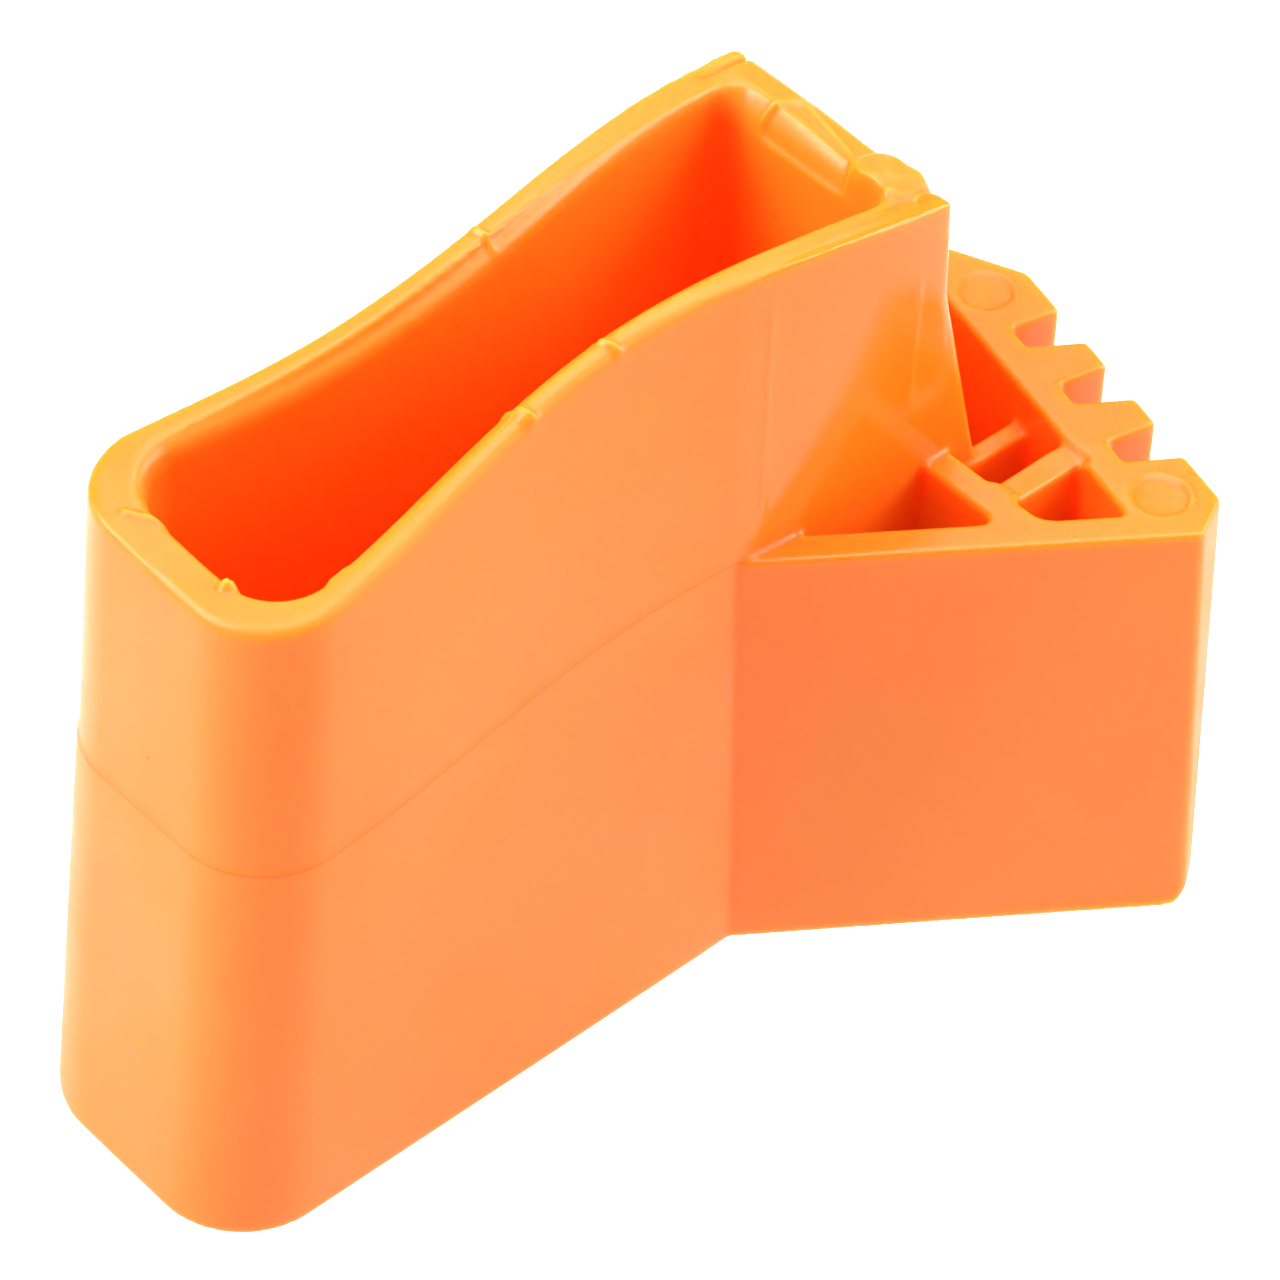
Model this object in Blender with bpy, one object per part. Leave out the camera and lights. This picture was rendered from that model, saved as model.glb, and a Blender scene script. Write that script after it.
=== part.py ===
"""Stabiliser-bar foot: a long rectangular sleeve with a fan-shaped toothed tread on one end.

The real foot is a single plastic moulding.  It is modelled here as its visible sections, so each
wall, rib and tooth is a named solid that can be found and changed alone.  Neighbouring sections
keep a 0.3 mm gap.

Frame: metres, +Z up along the sleeve towards its mouth.  The origin is on the flat base, under
the middle of the sleeve.  +X runs along the sleeve's long side towards the tread.
"""

import math

import bmesh
import bpy
import numpy as np

MM = 0.001

# ---- driving dimensions, in millimetres -------------------------------------------------------
GAP = 0.3                 # clearance between neighbouring sections

# sleeve, outside
SLEEVE_LEFT_BASE = -60.0  # rounded end, at the base
SLEEVE_LEFT_SPLIT = -55.4 # rounded end, level with the mould's parting line
SLEEVE_LEFT_TOP = -53.2   # rounded end, at the mouth
SPLIT_HEIGHT = 60.0       # height of the parting line on the rounded end
SLEEVE_RIGHT_TOP = 52.7   # tread end, at the mouth
SLEEVE_RIGHT_NECK = 53.9  # tread end, where it starts to wedge out
SLEEVE_RIGHT_FAN = 61.2   # tread end, level with the top of the fan
SLEEVE_RIGHT_BASE = 62.4  # tread end, at the base
NECK = 91.0               # height of that change
NEAR_HALF_WIDTH = 21.15   # half the width at the base
FAR_HALF_WIDTH = 20.9
NEAR_DRAFT = 0.0305       # lean of the long walls per unit of height
FAR_DRAFT = 0.014
NEAR_WAIST = 0.043        # inward bow of the long walls per unit of height
FAR_WAIST = 0.060
WAIST_START = -53.3       # the bow begins and ends at these two places along the sleeve
WAIST_END = 52.6
FAR_SKEW = 0.85           # the far wall's bow is deepest a little nearer the rounded end
NEAR_ROUND_RADIUS = 12.6  # big vertical corners of the rounded end, at the base
FAR_ROUND_RADIUS = 14.0
NEAR_ROUND_TAPER = 0.018  # how fast those radii shrink upwards
FAR_ROUND_TAPER = 0.043
TREAD_RADIUS_TOP = 0.8    # small vertical corners of the tread end, at the mouth
TREAD_RADIUS_LOW = 1.8    # the same corners level with the fan and below

# sleeve, inside
CAVITY_LEFT = -47.3
CAVITY_RIGHT = 46.2
CAVITY_NEAR = -13.2
CAVITY_NEAR_TAPER = 0.010 # the near wall thins towards the rounded end, per unit of length
CAVITY_FAR = 14.6
CAVITY_LEFT_RADIUS = 7.0
CAVITY_RIGHT_RADIUS = 3.0
FLOOR_THICKNESS = 4.0

# mouth: low at the rounded end, rising in an S to a crest, then falling a little
RIM_LOW = 96.4
RIM_HIGH = 108.6
RIM_END = 107.3
RIM_START_X = -59.4
RIM_CREST_X = 26.9
RIM_END_X = 52.6
# lead-in round the mouth: depth below the rim, set-back on the long walls, set-back at the tread end
LEAD_IN = ((6.0, 0.0, 0.0), (2.6, 0.0, 0.9), (0.8, 0.5, 2.5), (0.0, 1.5, 4.3))

# the sleeve is divided at these two planes across its length
SPLIT_LEFT = -38.0
SPLIT_RIGHT = 40.0

# fan: its long lines follow the tread, which is tilted in plan by the lean of a standing ladder
TREAD_TILT = math.radians(15.0)
FAN_TOP = 65.6
FAN_FLOOR = 4.0
WALL = 4.1                # fan wall thickness at the top
TREAD_TIP = 85.8          # distance of the tooth tips from the origin, along the tread's normal
TREAD_ROOT = 78.3
TREAD_BACK = 73.6
TREAD_FLARE = 3.0         # outward lean of the tread over the height of the fan
NOTCH_FIRST = -12.8       # where the first notch begins along the tread
NOTCH_PITCH = 11.7
NOTCH_MOUTH = 6.4
NOTCH_ROOT_START = 0.3
NOTCH_ROOT_END = 4.1
NEAR_CORNER = 25.5        # end of the tread's flat front, near side
NEAR_CORNER_BASE = 30.2
FAR_CORNER = -20.9
FAR_CORNER_BASE = -23.9
NEAR_WALL_ROOT_TOP = 21.4       # where the near wall leaves the sleeve
NEAR_WALL_ROOT_BASE = 23.3
NEAR_WALL_END_TOP = (69.6, -50.1)
NEAR_WALL_END_BASE = (73.9, -54.9)
FAR_WALL_END_TOP = (83.5, 8.9)
FAR_WALL_END_BASE = (86.0, 12.0)

# ribs inside the fan
RIB_MAIN_X = (51.7, 56.1)
RIB_CROSS_Y = (-30.8, -26.9)
RIB_LOW_Y = (-19.4, -16.7)
RIB_LOW_TOP = 58.9

# plastic
ORANGE = (1.0, 0.24, 0.035, 1.0)
ROUGHNESS = 0.38


# ---- scene helpers ----------------------------------------------------------------------------
def clear_scene():
    for obj in list(bpy.data.objects):
        bpy.data.objects.remove(obj, do_unlink=True)
    for old in list(bpy.data.collections):
        bpy.data.collections.remove(old)


def new_collection(name):
    made = bpy.data.collections.new(name)
    bpy.context.scene.collection.children.link(made)
    return made


def plastic(name, shade):
    """Orange moulding plastic; shade brightens or darkens one section a little."""
    mat = bpy.data.materials.new(name)
    mat.use_nodes = True
    bsdf = mat.node_tree.nodes["Principled BSDF"]
    colour = [min(1.0, c * shade) for c in ORANGE[:3]] + [1.0]
    bsdf.inputs["Base Color"].default_value = colour
    bsdf.inputs["Roughness"].default_value = ROUGHNESS
    bsdf.inputs["Metallic"].default_value = 0.0
    mat.diffuse_color = colour
    return mat


def add_object(name, bm, mat, collection):
    bmesh.ops.recalc_face_normals(bm, faces=bm.faces)
    mesh = bpy.data.meshes.new(name)
    bm.to_mesh(mesh)
    bm.free()
    mesh.materials.append(mat)
    obj = bpy.data.objects.new(name, mesh)
    collection.objects.link(obj)
    return obj


# ---- the sleeve's outline at any height -------------------------------------------------------
def bow(x, skew=1.0):
    """0 at both ends of the long walls and 1 about half way along."""
    u = min(1.0, max(0.0, (x - WAIST_START) / (WAIST_END - WAIST_START)))
    return 0.5 - 0.5 * math.cos(2.0 * math.pi * u ** skew)


def near_outer(x, z):
    return -(NEAR_HALF_WIDTH - NEAR_DRAFT * z) + NEAR_WAIST * z * bow(x)


def far_outer(x, z):
    return (FAR_HALF_WIDTH - FAR_DRAFT * z) - FAR_WAIST * z * bow(x, FAR_SKEW)


def near_inner(x, z):
    taper = CAVITY_NEAR_TAPER * min(50.0, max(0.0, 5.0 - x))
    return CAVITY_NEAR - taper + NEAR_WAIST * z * bow(x)


def far_inner(x, z):
    return CAVITY_FAR - FAR_WAIST * z * bow(x, FAR_SKEW)


def left_outer(z):
    """The rounded end leans more below the parting line than above it."""
    heights = (0.0, SPLIT_HEIGHT, RIM_LOW)
    return float(np.interp(z, heights, (SLEEVE_LEFT_BASE, SLEEVE_LEFT_SPLIT, SLEEVE_LEFT_TOP)))


def right_outer(z):
    """Nearly upright from the mouth to the neck, then a wedge out to the fan, then a slight lean."""
    heights = (0.0, FAN_TOP, NECK, RIM_END)
    places = (SLEEVE_RIGHT_BASE, SLEEVE_RIGHT_FAN, SLEEVE_RIGHT_NECK, SLEEVE_RIGHT_TOP)
    return float(np.interp(z, heights, places))


def tread_corner_radius(z):
    return float(np.interp(z, (FAN_TOP, RIM_END), (TREAD_RADIUS_LOW, TREAD_RADIUS_TOP)))


def rim_height(x):
    """The S-curve of the mouth seen from the side."""
    if x <= RIM_CREST_X:
        u = max(0.0, (x - RIM_START_X) / (RIM_CREST_X - RIM_START_X))
        return RIM_LOW + (RIM_HIGH - RIM_LOW) * (0.5 - 0.5 * math.cos(math.pi * u))
    u = (x - RIM_CREST_X) / (RIM_END_X - RIM_CREST_X)
    return RIM_HIGH - (RIM_HIGH - RIM_END) * u * u


# ---- lofted sleeve sections -------------------------------------------------------------------
LOW_STEPS = (0.0, 0.22, 0.44, 0.653, 0.74, 0.82, 0.905, 1.0)


def level_height(level, x):
    """Height of a loft level above the base at x; the last levels follow the lead-in."""
    full = rim_height(x)
    if level < len(LOW_STEPS):
        return LOW_STEPS[level] * (full - LEAD_IN[0][0])
    return full - LEAD_IN[level - len(LOW_STEPS) + 1][0]


def level_lead(level):
    """Set-back of the inner face at a loft level: on the long walls and at the tread end."""
    if level < len(LOW_STEPS):
        return 0.0, 0.0
    step = LEAD_IN[level - len(LOW_STEPS) + 1]
    return step[1], step[2]


def ribbon(name, outer, inner, count, mat, collection):
    """A wall lofted from the base to the rim between an outer and an inner line of the plan."""
    bm = bmesh.new()
    levels = len(LOW_STEPS) + len(LEAD_IN) - 1
    rings = []
    for level in range(levels):
        ring = []
        for line in (outer, inner):
            for i in range(count):
                x, y = line(i, 50.0, 0.0, 0.0)
                z = level_height(level, x)
                side_lead, end_lead = level_lead(level)
                x, y = line(i, z, side_lead, end_lead)
                ring.append(bm.verts.new((x * MM, y * MM, z * MM)))
        rings.append(ring)
    for low, high in zip(rings, rings[1:]):
        for start in (0, count):
            for i in range(start, start + count - 1):
                bm.faces.new((low[i], low[i + 1], high[i + 1], high[i]))
        for a, b in ((0, count), (count - 1, 2 * count - 1)):
            bm.faces.new((low[a], low[b], high[b], high[a]))
    for ring in (rings[0], rings[-1]):
        for i in range(count - 1):
            bm.faces.new((ring[i], ring[i + 1], ring[count + i + 1], ring[count + i]))
    return add_object(name, bm, mat, collection)


ARC = 7          # steps in each corner
RUN = 4          # steps in each straight run of an end section
END_COUNT = 3 * RUN + 2 * ARC + 1


def end_line(i, split, x_end, radii, y_near, y_far):
    """Point i of the line from the split plane round one end of the sleeve and back.

    radii holds the near and the far corner; y_near and y_far give the long walls' distance at x.
    """
    side = 1.0 if x_end > split else -1.0
    r_near, r_far = radii
    c_near = x_end - side * r_near
    c_far = x_end - side * r_far
    if i <= RUN:
        x = split + (c_near - split) * i / RUN
        return x, y_near(x)
    i -= RUN
    if i <= ARC:
        a = 0.5 * math.pi * i / ARC
        return c_near + side * r_near * math.sin(a), y_near(c_near) + r_near * (1.0 - math.cos(a))
    i -= ARC
    low = y_near(c_near) + r_near
    high = y_far(c_far) - r_far
    if i <= RUN:
        return x_end, low + (high - low) * i / RUN
    i -= RUN
    if i <= ARC:
        a = 0.5 * math.pi * i / ARC
        return c_far + side * r_far * math.cos(a), y_far(c_far) - r_far * (1.0 - math.sin(a))
    i -= ARC
    x = c_far + (split - c_far) * i / RUN
    return x, y_far(x)


def round_end(mat, collection):
    def outer(i, z, side_lead, end_lead):
        radii = NEAR_ROUND_RADIUS - NEAR_ROUND_TAPER * z, FAR_ROUND_RADIUS - FAR_ROUND_TAPER * z
        return end_line(i, SPLIT_LEFT, left_outer(z), radii,
                        lambda x: near_outer(x, z), lambda x: far_outer(x, z))

    def inner(i, z, side_lead, end_lead):
        return end_line(i, SPLIT_LEFT, CAVITY_LEFT - side_lead, (CAVITY_LEFT_RADIUS,) * 2,
                        lambda x: near_inner(x, z) - side_lead, lambda x: far_inner(x, z) + side_lead)

    return ribbon("sleeve_round_end", outer, inner, END_COUNT, mat, collection)


def tread_end(mat, collection):
    def outer(i, z, side_lead, end_lead):
        return end_line(i, SPLIT_RIGHT, right_outer(z), (tread_corner_radius(z),) * 2,
                        lambda x: near_outer(x, z), lambda x: far_outer(x, z))

    def inner(i, z, side_lead, end_lead):
        return end_line(i, SPLIT_RIGHT, CAVITY_RIGHT + end_lead, (CAVITY_RIGHT_RADIUS,) * 2,
                        lambda x: near_inner(x, z) - side_lead, lambda x: far_inner(x, z) + side_lead)

    return ribbon("sleeve_tread_end", outer, inner, END_COUNT, mat, collection)


def long_wall(name, outer_y, inner_y, lead_sign, mat, collection):
    count = 15
    stations = np.linspace(SPLIT_LEFT + GAP, SPLIT_RIGHT - GAP, count)

    def outer(i, z, side_lead, end_lead):
        return stations[i], outer_y(stations[i], z)

    def inner(i, z, side_lead, end_lead):
        return stations[i], inner_y(stations[i], z) + lead_sign * side_lead

    return ribbon(name, outer, inner, count, mat, collection)


# ---- extruded sections ------------------------------------------------------------------------
def prism(name, base, top, z_low, z_high, mat, collection):
    """Extrude a plan outline upwards and draw its upper corners to a second outline."""
    bm = bmesh.new()
    verts = [bm.verts.new((x * MM, y * MM, z_low * MM)) for x, y in base]
    face = bm.faces.new(verts)
    bmesh.ops.solidify(bm, geom=[face], thickness=(z_high - z_low) * MM)
    upper = [v for v in bm.verts if v not in verts]
    for vert in upper:
        i = min(range(len(base)), key=lambda k: math.dist(base[k], vert.co.xy / MM))
        vert.co = (top[i][0] * MM, top[i][1] * MM, z_high * MM)
    for vert in verts:
        vert.co.z = z_low * MM
    return add_object(name, bm, mat, collection)


def tread_xy(n, s):
    """Plan point n along the tread's outward normal and s along the tread towards its near end."""
    c = math.cos(TREAD_TILT)
    k = math.sin(TREAD_TILT)
    return n * c - s * k, -n * k - s * c


def meet(p, q, n):
    """Where the line through p and q crosses the tread line at distance n."""
    c = math.cos(TREAD_TILT)
    k = math.sin(TREAD_TILT)
    a = p[0] * c - p[1] * k
    b = q[0] * c - q[1] * k
    u = (n - a) / (b - a)
    return p[0] + (q[0] - p[0]) * u, p[1] + (q[1] - p[1]) * u


def at_x(p, q, x):
    u = (x - p[0]) / (q[0] - p[0])
    return x, p[1] + (q[1] - p[1]) * u


def at_y(p, q, y):
    u = (y - p[1]) / (q[1] - p[1])
    return p[0] + (q[0] - p[0]) * u, y


def shifted(p, q, d):
    """The line through p and q moved d to its left."""
    length = math.hypot(q[0] - p[0], q[1] - p[1])
    ox = -(q[1] - p[1]) / length * d
    oy = (q[0] - p[0]) / length * d
    return (p[0] + ox, p[1] + oy), (q[0] + ox, q[1] + oy)


def near_wall_outer(top):
    """The near wall's outer line at the fan's top or at the base."""
    if top:
        return (NEAR_WALL_ROOT_TOP, near_outer(NEAR_WALL_ROOT_TOP, FAN_TOP)), NEAR_WALL_END_TOP
    return (NEAR_WALL_ROOT_BASE, -NEAR_HALF_WIDTH), NEAR_WALL_END_BASE


def near_wall_inner():
    """The near wall's upright inner line."""
    p, q = near_wall_outer(True)
    return shifted(p, q, WALL)


def far_wall_outer(top):
    z = FAN_TOP if top else 0.0
    root = (right_outer(z) + GAP, far_outer(60.0, z) - 2.0)
    return root, (FAR_WALL_END_TOP if top else FAR_WALL_END_BASE)


def far_wall_inner():
    p, q = far_wall_outer(True)
    return shifted(p, q, -WALL)


def fan_near_wall(mat, collection):
    shapes = []
    for top in (False, True):
        z = FAN_TOP if top else 0.0
        n_end = TREAD_ROOT + (0.0 if top else TREAD_FLARE) - GAP
        p, q = near_wall_outer(top)
        a, b = near_wall_inner()
        root_outer = (p[0], near_outer(p[0], z) - GAP)
        inner_x = at_y(a, b, near_outer(28.0, z) - GAP)[0]
        root_inner = (inner_x, near_outer(inner_x, z) - GAP)
        shapes.append([root_outer, meet(p, q, n_end), meet(a, b, n_end), root_inner])
    return prism("fan_near_wall", shapes[0], shapes[1], 0.0, FAN_TOP, mat, collection)


def fan_far_wall(mat, collection):
    shapes = []
    for top in (False, True):
        z = FAN_TOP if top else 0.0
        n_end = TREAD_ROOT + (0.0 if top else TREAD_FLARE) - GAP
        p, q = far_wall_outer(top)
        a, b = far_wall_inner()
        root_inner = at_x(a, b, right_outer(z) + GAP)
        shapes.append([p, root_inner, meet(a, b, n_end), meet(p, q, n_end)])
    return prism("fan_far_wall", shapes[0], shapes[1], 0.0, FAN_TOP, mat, collection)


def tread_bar(mat, collection):
    """The straight wall behind the teeth, between the near and far walls."""
    near = shifted(*near_wall_inner(), GAP)
    far = shifted(*far_wall_inner(), -GAP)
    shapes = []
    for lean in (TREAD_FLARE, 0.0):
        front = TREAD_ROOT + lean - GAP
        shapes.append([meet(*far, TREAD_BACK), meet(*near, TREAD_BACK),
                       meet(*near, front), meet(*far, front)])
    return prism("tread_bar", shapes[0], shapes[1], 0.0, FAN_TOP, mat, collection)


def tread_block_near(mat, collection):
    start = NOTCH_FIRST + 2 * NOTCH_PITCH
    shapes = []
    for top in (False, True):
        lean = 0.0 if top else TREAD_FLARE
        corner = NEAR_CORNER if top else NEAR_CORNER_BASE
        p, q = near_wall_outer(top)
        shapes.append([tread_xy(TREAD_ROOT + lean, start + NOTCH_ROOT_END),
                       meet(p, q, TREAD_ROOT + lean),
                       q,
                       tread_xy(TREAD_TIP + lean, corner),
                       tread_xy(TREAD_TIP + lean, start + NOTCH_MOUTH)])
    return prism("tread_block_near", shapes[0], shapes[1], 0.0, FAN_TOP, mat, collection)


def tread_block_far(mat, collection):
    shapes = []
    for top in (False, True):
        lean = 0.0 if top else TREAD_FLARE
        corner = FAR_CORNER if top else FAR_CORNER_BASE
        p, q = far_wall_outer(top)
        shapes.append([tread_xy(TREAD_ROOT + lean, NOTCH_FIRST + NOTCH_ROOT_START),
                       tread_xy(TREAD_TIP + lean, NOTCH_FIRST),
                       tread_xy(TREAD_TIP + lean, corner),
                       meet(p, q, TREAD_ROOT + lean + 0.3)])
    return prism("tread_block_far", shapes[0], shapes[1], 0.0, FAN_TOP, mat, collection)


def tread_tooth(name, index, mat, collection):
    """A tooth between two notches: square on its near side, sloped on its far side."""
    before = NOTCH_FIRST + (index - 1) * NOTCH_PITCH
    after = NOTCH_FIRST + index * NOTCH_PITCH
    shapes = []
    for lean in (TREAD_FLARE, 0.0):
        shapes.append([tread_xy(TREAD_ROOT + lean, before + NOTCH_ROOT_END),
                       tread_xy(TREAD_ROOT + lean, after + NOTCH_ROOT_START),
                       tread_xy(TREAD_TIP + lean, after),
                       tread_xy(TREAD_TIP + lean, before + NOTCH_MOUTH)])
    return prism(name, shapes[0], shapes[1], 0.0, FAN_TOP, mat, collection)


def rib_main(mat, collection):
    """The rib from the sleeve's corner straight out to the near wall."""
    x0, x1 = RIB_MAIN_X
    wall = shifted(*near_wall_inner(), GAP)
    shapes = []
    for z in (FAN_FLOOR + GAP, FAN_TOP):
        y = near_outer(WAIST_END, z) - GAP
        shapes.append([(x0, y), at_x(*wall, x0), at_x(*wall, x1), (x1, y)])
    return prism("rib_main", shapes[0], shapes[1], FAN_FLOOR + GAP, FAN_TOP, mat, collection)


def rib_cross(mat, collection):
    """The rib from the main rib to the tread bar."""
    y0, y1 = RIB_CROSS_Y
    back = tread_xy(TREAD_BACK - GAP, -60.0), tread_xy(TREAD_BACK - GAP, 60.0)
    x0 = RIB_MAIN_X[1] + GAP
    plan = [(x0, y0), at_y(*back, y0), at_y(*back, y1), (x0, y1)]
    return prism("rib_cross", plan, plan, FAN_FLOOR + GAP, FAN_TOP, mat, collection)


def rib_low(mat, collection):
    """The thinner, lower rib from the sleeve's corner to the tread bar."""
    y0, y1 = RIB_LOW_Y
    back = tread_xy(TREAD_BACK - GAP, -60.0), tread_xy(TREAD_BACK - GAP, 60.0)
    shapes = []
    for z in (FAN_FLOOR + GAP, RIB_LOW_TOP):
        x0 = right_outer(z) + GAP
        shapes.append([(x0, y0), at_y(*back, y0), at_y(*back, y1), (x0, y1)])
    return prism("rib_low", shapes[0], shapes[1], FAN_FLOOR + GAP, RIB_LOW_TOP, mat, collection)


def fan_floor(mat, collection):
    """The flat web that closes the fan at its base."""
    near = shifted(*near_wall_inner(), GAP)
    far = shifted(*far_wall_inner(), -GAP)
    back = TREAD_BACK - GAP
    y = -NEAR_HALF_WIDTH - GAP
    x = SLEEVE_RIGHT_BASE + GAP
    plan = [at_y(*near, y), meet(*near, back), meet(*far, back), at_x(*far, x), (x, y)]
    return prism("fan_floor", plan, plan, 0.0, FAN_FLOOR, mat, collection)


def sleeve_floor(mat, collection):
    """The closed end of the sleeve: the bar stops against its upper face."""
    def corner(x, y, r, a0):
        return [(x + r * math.cos(math.radians(a0 + 15 * k)), y + r * math.sin(math.radians(a0 + 15 * k)))
                for k in range(7)]

    left = CAVITY_LEFT + GAP
    right = CAVITY_RIGHT - GAP
    near = near_inner(0.0, FLOOR_THICKNESS) + GAP
    far = far_inner(0.0, FLOOR_THICKNESS) - GAP
    r = CAVITY_LEFT_RADIUS
    q = CAVITY_RIGHT_RADIUS
    plan = corner(left + r, near + r, r, 180) + corner(right - q, near + q, q, 270)
    plan += corner(right - q, far - q, q, 0) + corner(left + r, far - r, r, 90)
    return prism("sleeve_floor", plan, plan, 0.0, FLOOR_THICKNESS, mat, collection)


def build():
    clear_scene()
    foot = new_collection("stabiliser_bar_foot")
    round_end(plastic("plastic_round_end", 1.0), foot)
    long_wall("sleeve_near_wall", near_outer, near_inner, -1.0, plastic("plastic_near_wall", 0.98), foot)
    long_wall("sleeve_far_wall", far_outer, far_inner, 1.0, plastic("plastic_far_wall", 0.98), foot)
    tread_end(plastic("plastic_tread_end", 1.0), foot)
    sleeve_floor(plastic("plastic_sleeve_floor", 0.9), foot)
    fan_near_wall(plastic("plastic_fan_near_wall", 0.95), foot)
    fan_far_wall(plastic("plastic_fan_far_wall", 0.95), foot)
    fan_floor(plastic("plastic_fan_floor", 0.85), foot)
    rib_main(plastic("plastic_rib_main", 0.92), foot)
    rib_cross(plastic("plastic_rib_cross", 0.92), foot)
    rib_low(plastic("plastic_rib_low", 0.9), foot)
    tread_bar(plastic("plastic_tread_bar", 0.95), foot)
    tread_block_near(plastic("plastic_block_near", 1.0), foot)
    tread_block_far(plastic("plastic_block_far", 1.0), foot)
    tread_tooth("tread_tooth_near", 2, plastic("plastic_tooth_near", 1.0), foot)
    tread_tooth("tread_tooth_far", 1, plastic("plastic_tooth_far", 1.0), foot)


build()
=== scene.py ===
"""Stabiliser-bar foot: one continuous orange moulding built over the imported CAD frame."""

import math

import bmesh
import bpy
import numpy as np
from mathutils import Euler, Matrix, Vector


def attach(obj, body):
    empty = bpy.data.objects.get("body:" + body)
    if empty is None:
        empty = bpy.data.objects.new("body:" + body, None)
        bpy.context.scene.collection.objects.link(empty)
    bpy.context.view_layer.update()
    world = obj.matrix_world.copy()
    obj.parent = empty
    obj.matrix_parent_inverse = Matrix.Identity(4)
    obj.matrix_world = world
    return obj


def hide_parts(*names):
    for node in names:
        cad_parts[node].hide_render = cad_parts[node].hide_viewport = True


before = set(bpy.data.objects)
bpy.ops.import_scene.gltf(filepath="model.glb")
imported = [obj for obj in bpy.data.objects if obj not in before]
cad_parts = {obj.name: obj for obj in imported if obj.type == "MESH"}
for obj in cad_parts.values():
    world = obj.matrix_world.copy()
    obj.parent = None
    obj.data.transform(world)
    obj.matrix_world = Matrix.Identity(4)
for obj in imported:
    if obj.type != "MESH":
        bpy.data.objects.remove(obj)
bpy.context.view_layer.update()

MM = 0.001
TILT = math.radians(15.0)             # the tread's turn in plan
VOXEL = 0.42 * MM                     # grain of the remeshed skin
SMOOTH_ROUNDS = 4
KEPT_FACES = 0.35                     # share of the faces that thinning leaves

# ---- the foot's outlines, in millimetres: the sleeve runs along x, mouth up, the fan is at +x ---
# where there are two values, -1 is the near side (y below 0) and 1 the far side
NEAR_HALF_WIDTH = 21.15               # the sleeve's base
FAR_HALF_WIDTH = 20.9
WAIST_START = -53.3                   # the long walls draw in between these two x
WAIST_END = 52.6
NEAR_WAIST = 0.043                    # this far, per millimetre of height
FAR_WAIST = 0.060
FAR_SKEW = 0.85                       # shifts the far wall's waist along
NEAR_DRAFT = 0.0305                   # and how far they lean in
FAR_DRAFT = 0.014
FAN_TOP = 65.6
FLOOR = 4.0
ROUND_RADIUS = {-1: 12.6, 1: 14.0}    # corners of the rounded end at the base
ROUND_TAPER = {-1: 0.018, 1: 0.043}   # and what they lose per millimetre of height
TREAD_END_RADII = (1.8, 0.8)          # corners of the tread end, at the fan's top and at the rim
TREAD_END_RIM = 106.0

RIM_LOW = 96.4                        # the rim climbs from the rounded end to a crest
RIM_RISE = 12.2
RIM_START = -59.4
RIM_RUN = 86.3
CREST_X = 26.9
CREST_HEIGHT = 108.6
RIM_FALL = 1.3                        # and falls a little towards the tread end
RIM_FALL_RUN = 25.7

PARTING_LOW = 59.9                    # the mould's parting line climbs in the same direction
PARTING_RISE = 5.7
PARTING_START = -45.9
PARTING_RUN = 69.4
STEP = 0.08                           # half the step that the walls take there
FLASH = 0.08                          # how far a fine edge stands proud along it
CREASE = 0.12                         # half the height that the step is spread over
FAN_JOIN = 21.0                       # where it ends on the near wall, in x

EDGE = 0.55                           # rounding of the outer edges
RIM_SOFTER = {-1: 2.0, 1: 0.6}        # how much larger it gets at the rim of the rounded end

CAVITY_LEFT = -47.3
CAVITY_RIGHT = 46.2
CAVITY_NEAR = -13.2
CAVITY_FAR = 14.6
CAVITY_MID = 0.7
CAVITY_ROUND = 7.0                    # corner radii at the rounded end and at the tread end
CAVITY_CORNER = 3.0
LEAD = 6.0                            # depth and width of the lead-in at the tread end
LEAD_END = 5.0
LEAD_LONG = 2.8                       # and along the other walls
LEAD_SIDE = 1.8

TIP = 85.8                            # the tread's distances: teeth, notch floors, back of the bar
ROOT = 78.3
BACK = 73.6
FLARE = 3.0                           # how much further out the tread's foot is
FOOT_ROLL = 3.4                       # rounding of that foot
NOTCH = -12.8                         # where the first notch starts along the tread
PITCH = 11.7
NOTCH_MOUTH = 6.4
NOTCH_FLOOR = (0.3, 4.1)
MAIN_RIB = (51.7, 56.1)               # in x
CROSS_RIB = (-30.8, -26.9)            # in y
LOW_RIB = (-19.4, -16.7)              # in y
LOW_RIB_TOP = 60.0
NEAR_WALL = 4.5                       # thickness of the fan's side walls
FAR_WALL = 4.1
POCKET_EASE = 0.5                     # rounding of the pockets' upper edges
BASE_EDGE = 0.5                       # and of the fan's base

STATION_HEIGHT = 60.0                 # rim and parting line are taken at a point's x at this level
OUTER_STATIONS = 64                   # points along a long wall
CAVITY_STATIONS = 60
END_RUN = 4                           # steps on half of an end wall
ROUND_STEPS = 16                      # and on a corner of the rounded end and of the tread end
CORNER_STEPS = 8


def clamp(value, low=0.0, high=1.0):
    return max(low, min(high, value))


def bow(x, skew=1.0):
    """Share of the waist at x, from 0 at its ends to 1."""
    u = clamp((x - WAIST_START) / (WAIST_END - WAIST_START))
    return 0.5 - 0.5 * math.cos(2.0 * math.pi * u ** skew)


def near_outer(x, z):
    return -(NEAR_HALF_WIDTH - NEAR_DRAFT * z) + NEAR_WAIST * z * bow(x)


def far_outer(x, z):
    return (FAR_HALF_WIDTH - FAR_DRAFT * z) - FAR_WAIST * z * bow(x, FAR_SKEW)


def near_inner(x, z):
    widening = 0.010 * clamp(5.0 - x, 0.0, 50.0)
    return CAVITY_NEAR - widening + NEAR_WAIST * z * bow(x)


def far_inner(x, z):
    return CAVITY_FAR - FAR_WAIST * z * bow(x, FAR_SKEW)


def left_outer(z):
    return float(np.interp(z, (0.0, 60.0, 96.4), (-60.0, -55.4, -53.2)))


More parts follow.
